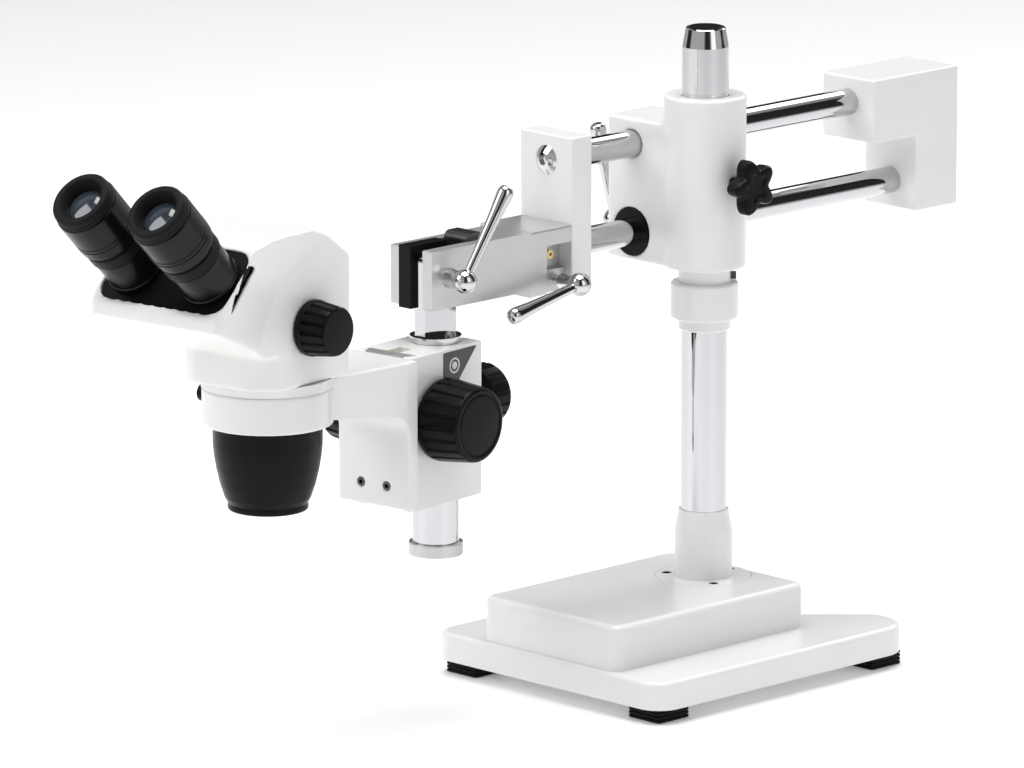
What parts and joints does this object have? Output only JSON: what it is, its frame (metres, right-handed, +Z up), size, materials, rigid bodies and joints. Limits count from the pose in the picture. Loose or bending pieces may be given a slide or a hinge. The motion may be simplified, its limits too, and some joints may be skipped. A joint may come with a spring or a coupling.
{
  "type": "stereo microscope on a boom stand",
  "caption": "Stereo microscope head with inclined eyepieces, carried by a rack focus block on a sliding double-rod boom stand with a heavy base.",
  "frame": {"origin": "middle of the ground that the whole object covers, on the plane that its feet stand on; the column's axis is 137.8 mm behind it", "axes": "+Z up along the column, +Y along the boom away from the user, +X to the user's right"},
  "size_m": [0.22, 0.844, 0.4456],
  "materials": {
    "white_paint": "satin off-white enamel",
    "white_shell": "fine-textured off-white moulding",
    "black_plastic": "satin black moulding",
    "black_rubber": "matt ribbed rubber",
    "black_metal": "satin black enamel",
    "chrome": "polished",
    "steel": "turned",
    "dark_steel": "blackened",
    "aluminium": "satin",
    "brass": "turned",
    "glass": "coated"
  },
  "bodies": {
    "base": {"base_plate": "white_paint", "base_block": "white_paint", "rubber_feet": "black_rubber", "column_flange": "white_paint", "flange_screws": "dark_steel", "column_sleeve": "white_paint", "column": "chrome", "column_cap": "black_plastic"},
    "collar": {"safety_collar": "white_paint", "collar_screw": "dark_steel"},
    "carriage": {"carriage": "white_paint", "rod_bushes": "black_plastic"},
    "column_lock": {"star_knob": "black_plastic"},
    "boom_lock": {"boom_lock_lever": "chrome"},
    "boom": {"upper_rod": "chrome", "lower_rod": "chrome", "front_end_block": "white_paint", "counterweight": "white_paint", "rod_end_screws": "chrome"},
    "arm": {"clamp_block": "aluminium", "near_arm_plate": "aluminium", "far_arm_plate": "aluminium", "arm_plate_screws": "dark_steel", "friction_pad": "black_plastic", "tilt_stop": "dark_steel", "clamp_set_screw": "brass"},
    "roll_lock": {"roll_lock_lever": "chrome"},
    "tilt_lock": {"tilt_lock_lever": "chrome"},
    "post": {"post": "chrome", "post_flange": "aluminium"},
    "sleeve": {"post_sleeve": "steel"},
    "housing": {"focus_housing": "white_paint"},
    "post_clamp": {"post_clamp_knob": "black_plastic"},
    "focus_drive": {"pinion_shaft": "steel", "near_focus_knob": "black_plastic", "far_focus_knob": "black_plastic"},
    "focus_slide": {"focus_bracket": "white_paint", "dovetail_slide": "aluminium", "rack": "brass", "bracket_screws": "dark_steel"},
    "ring_lock": {"ring_lock_screw": "black_plastic"},
    "head": {"head_shell": "white_shell", "front_panel": "black_plastic", "head_base": "white_paint", "objective_cover": "black_plastic", "objective_lens": "glass", "zoom_guide_rods": "steel"},
    "zoom_drive": {"zoom_shaft": "steel", "zoom_knobs": "black_plastic"},
    "zoom_carrier": {"zoom_lens_carrier": "aluminium"},
    "left_eye": {"left_eyetube": "black_metal", "left_eyepiece": "black_metal", "left_eyecup": "black_rubber", "left_eye_lens": "glass"},
    "left_diopter": {"left_diopter_ring": "black_plastic"},
    "right_eye": {"right_eyetube": "black_metal", "right_eyepiece": "black_metal", "right_eyecup": "black_rubber", "right_eye_lens": "glass"},
    "right_diopter": {"right_diopter_ring": "black_plastic"}
  },
  "joints": [
    {"name": "stand_height", "type": "slide", "parent": "base", "child": "collar", "axis": [0, 0, 1], "range_m": [-0.095, 0.03]},
    {"name": "carriage_swivel", "type": "hinge", "parent": "collar", "child": "carriage", "pos_m": [0, 0.1378, 0.3], "axis": [0, 0, 1], "continuous": true},
    {"name": "column_lock_turn", "type": "hinge", "parent": "carriage", "child": "column_lock", "pos_m": [0.038, 0.1378, 0.3402], "axis": [1, 0, 0], "range_deg": [0, 360]},
    {"name": "boom_lock_turn", "type": "hinge", "parent": "carriage", "child": "boom_lock", "pos_m": [-0.0865, 0.1378, 0.2988], "axis": [1, 0, 0], "range_deg": [-60, 120]},
    {"name": "boom_slide", "type": "slide", "parent": "carriage", "child": "boom", "axis": [0, 1, 0], "range_m": [-0.16, 0.058]},
    {"name": "arm_roll", "type": "hinge", "parent": "boom", "child": "arm", "pos_m": [-0.0485, 0.0178, 0.2988], "axis": [0, 1, 0], "range_deg": [-90, 90]},
    {"name": "roll_lock_turn", "type": "hinge", "parent": "arm", "child": "roll_lock", "pos_m": [-0.0068, 0.0233, 0.2814], "axis": [1, 0, 0], "range_deg": [-25, 0]},
    {"name": "tilt_lock_turn", "type": "hinge", "parent": "arm", "child": "tilt_lock", "pos_m": [-0.0098, -0.0827, 0.2988], "axis": [1, 0, 0], "range_deg": [-30, 90]},
    {"name": "head_tilt", "type": "hinge", "parent": "arm", "child": "post", "pos_m": [-0.038, -0.0827, 0.2988], "axis": [1, 0, 0], "range_deg": [-40, 30]},
    {"name": "post_height", "type": "slide", "parent": "post", "child": "sleeve", "axis": [0, 0, 1], "range_m": [-0.032, 0]},
    {"name": "housing_swivel", "type": "hinge", "parent": "sleeve", "child": "housing", "pos_m": [-0.038, -0.0827, 0.2], "axis": [0, 0, 1], "range_deg": [-60, 60]},
    {"name": "post_clamp_turn", "type": "hinge", "parent": "housing", "child": "post_clamp", "pos_m": [-0.04219, -0.04594, 0.2086], "axis": [-0.1132, 0.9936, 0], "range_deg": [0, 360]},
    {"name": "focus_turn", "type": "hinge", "parent": "housing", "child": "focus_drive", "pos_m": [-0.03501, -0.10893, 0.2086], "axis": [0.9936, 0.1132, 0], "range_deg": [-206, 206]},
    {"name": "focus_travel", "type": "slide", "parent": "housing", "child": "focus_slide", "axis": [0, 0, 1], "range_m": [-0.025, 0.025]},
    {"name": "ring_lock_turn", "type": "hinge", "parent": "focus_slide", "child": "ring_lock", "pos_m": [-0.06141, -0.2615, 0.2412], "axis": [0.9936, 0.1132, 0], "range_deg": [0, 360]},
    {"name": "head_swivel", "type": "hinge", "parent": "focus_slide", "child": "head", "pos_m": [-0.01819, -0.25657, 0.254], "axis": [0, 0, 1], "continuous": true},
    {"name": "zoom_turn", "type": "hinge", "parent": "head", "child": "zoom_drive", "pos_m": [-0.01766, -0.26125, 0.299], "axis": [0.9936, 0.1132, 0], "range_deg": [-130, 130]},
    {"name": "zoom_travel", "type": "slide", "parent": "head", "child": "zoom_carrier", "axis": [0, 0, 1], "range_m": [-0.0081, 0.0081]},
    {"name": "left_spacing", "type": "slide", "parent": "head", "child": "left_eye", "axis": [0.9936, 0.1132, 0], "range_m": [-0.005, 0.005]},
    {"name": "right_spacing", "type": "slide", "parent": "head", "child": "right_eye", "axis": [0.9936, 0.1132, 0], "range_m": [-0.005, 0.005]},
    {"name": "left_diopter_turn", "type": "hinge", "parent": "left_eye", "child": "left_diopter", "pos_m": [-0.03693, -0.37479, 0.36534], "axis": [0.08, -0.7026, 0.7071], "range_deg": [-150, 150]},
    {"name": "right_diopter_turn", "type": "hinge", "parent": "right_eye", "child": "right_diopter", "pos_m": [0.02666, -0.36755, 0.36534], "axis": [0.08, -0.7026, 0.7071], "range_deg": [-150, 150]}
  ],
  "couplings": [
    {"joint": "focus_turn", "follows": "focus_travel", "rad_per_m": -142.86},
    {"joint": "zoom_travel", "follows": "zoom_turn", "m_per_rad": 0.003526},
    {"joint": "right_spacing", "follows": "left_spacing", "ratio": -1}
  ]
}
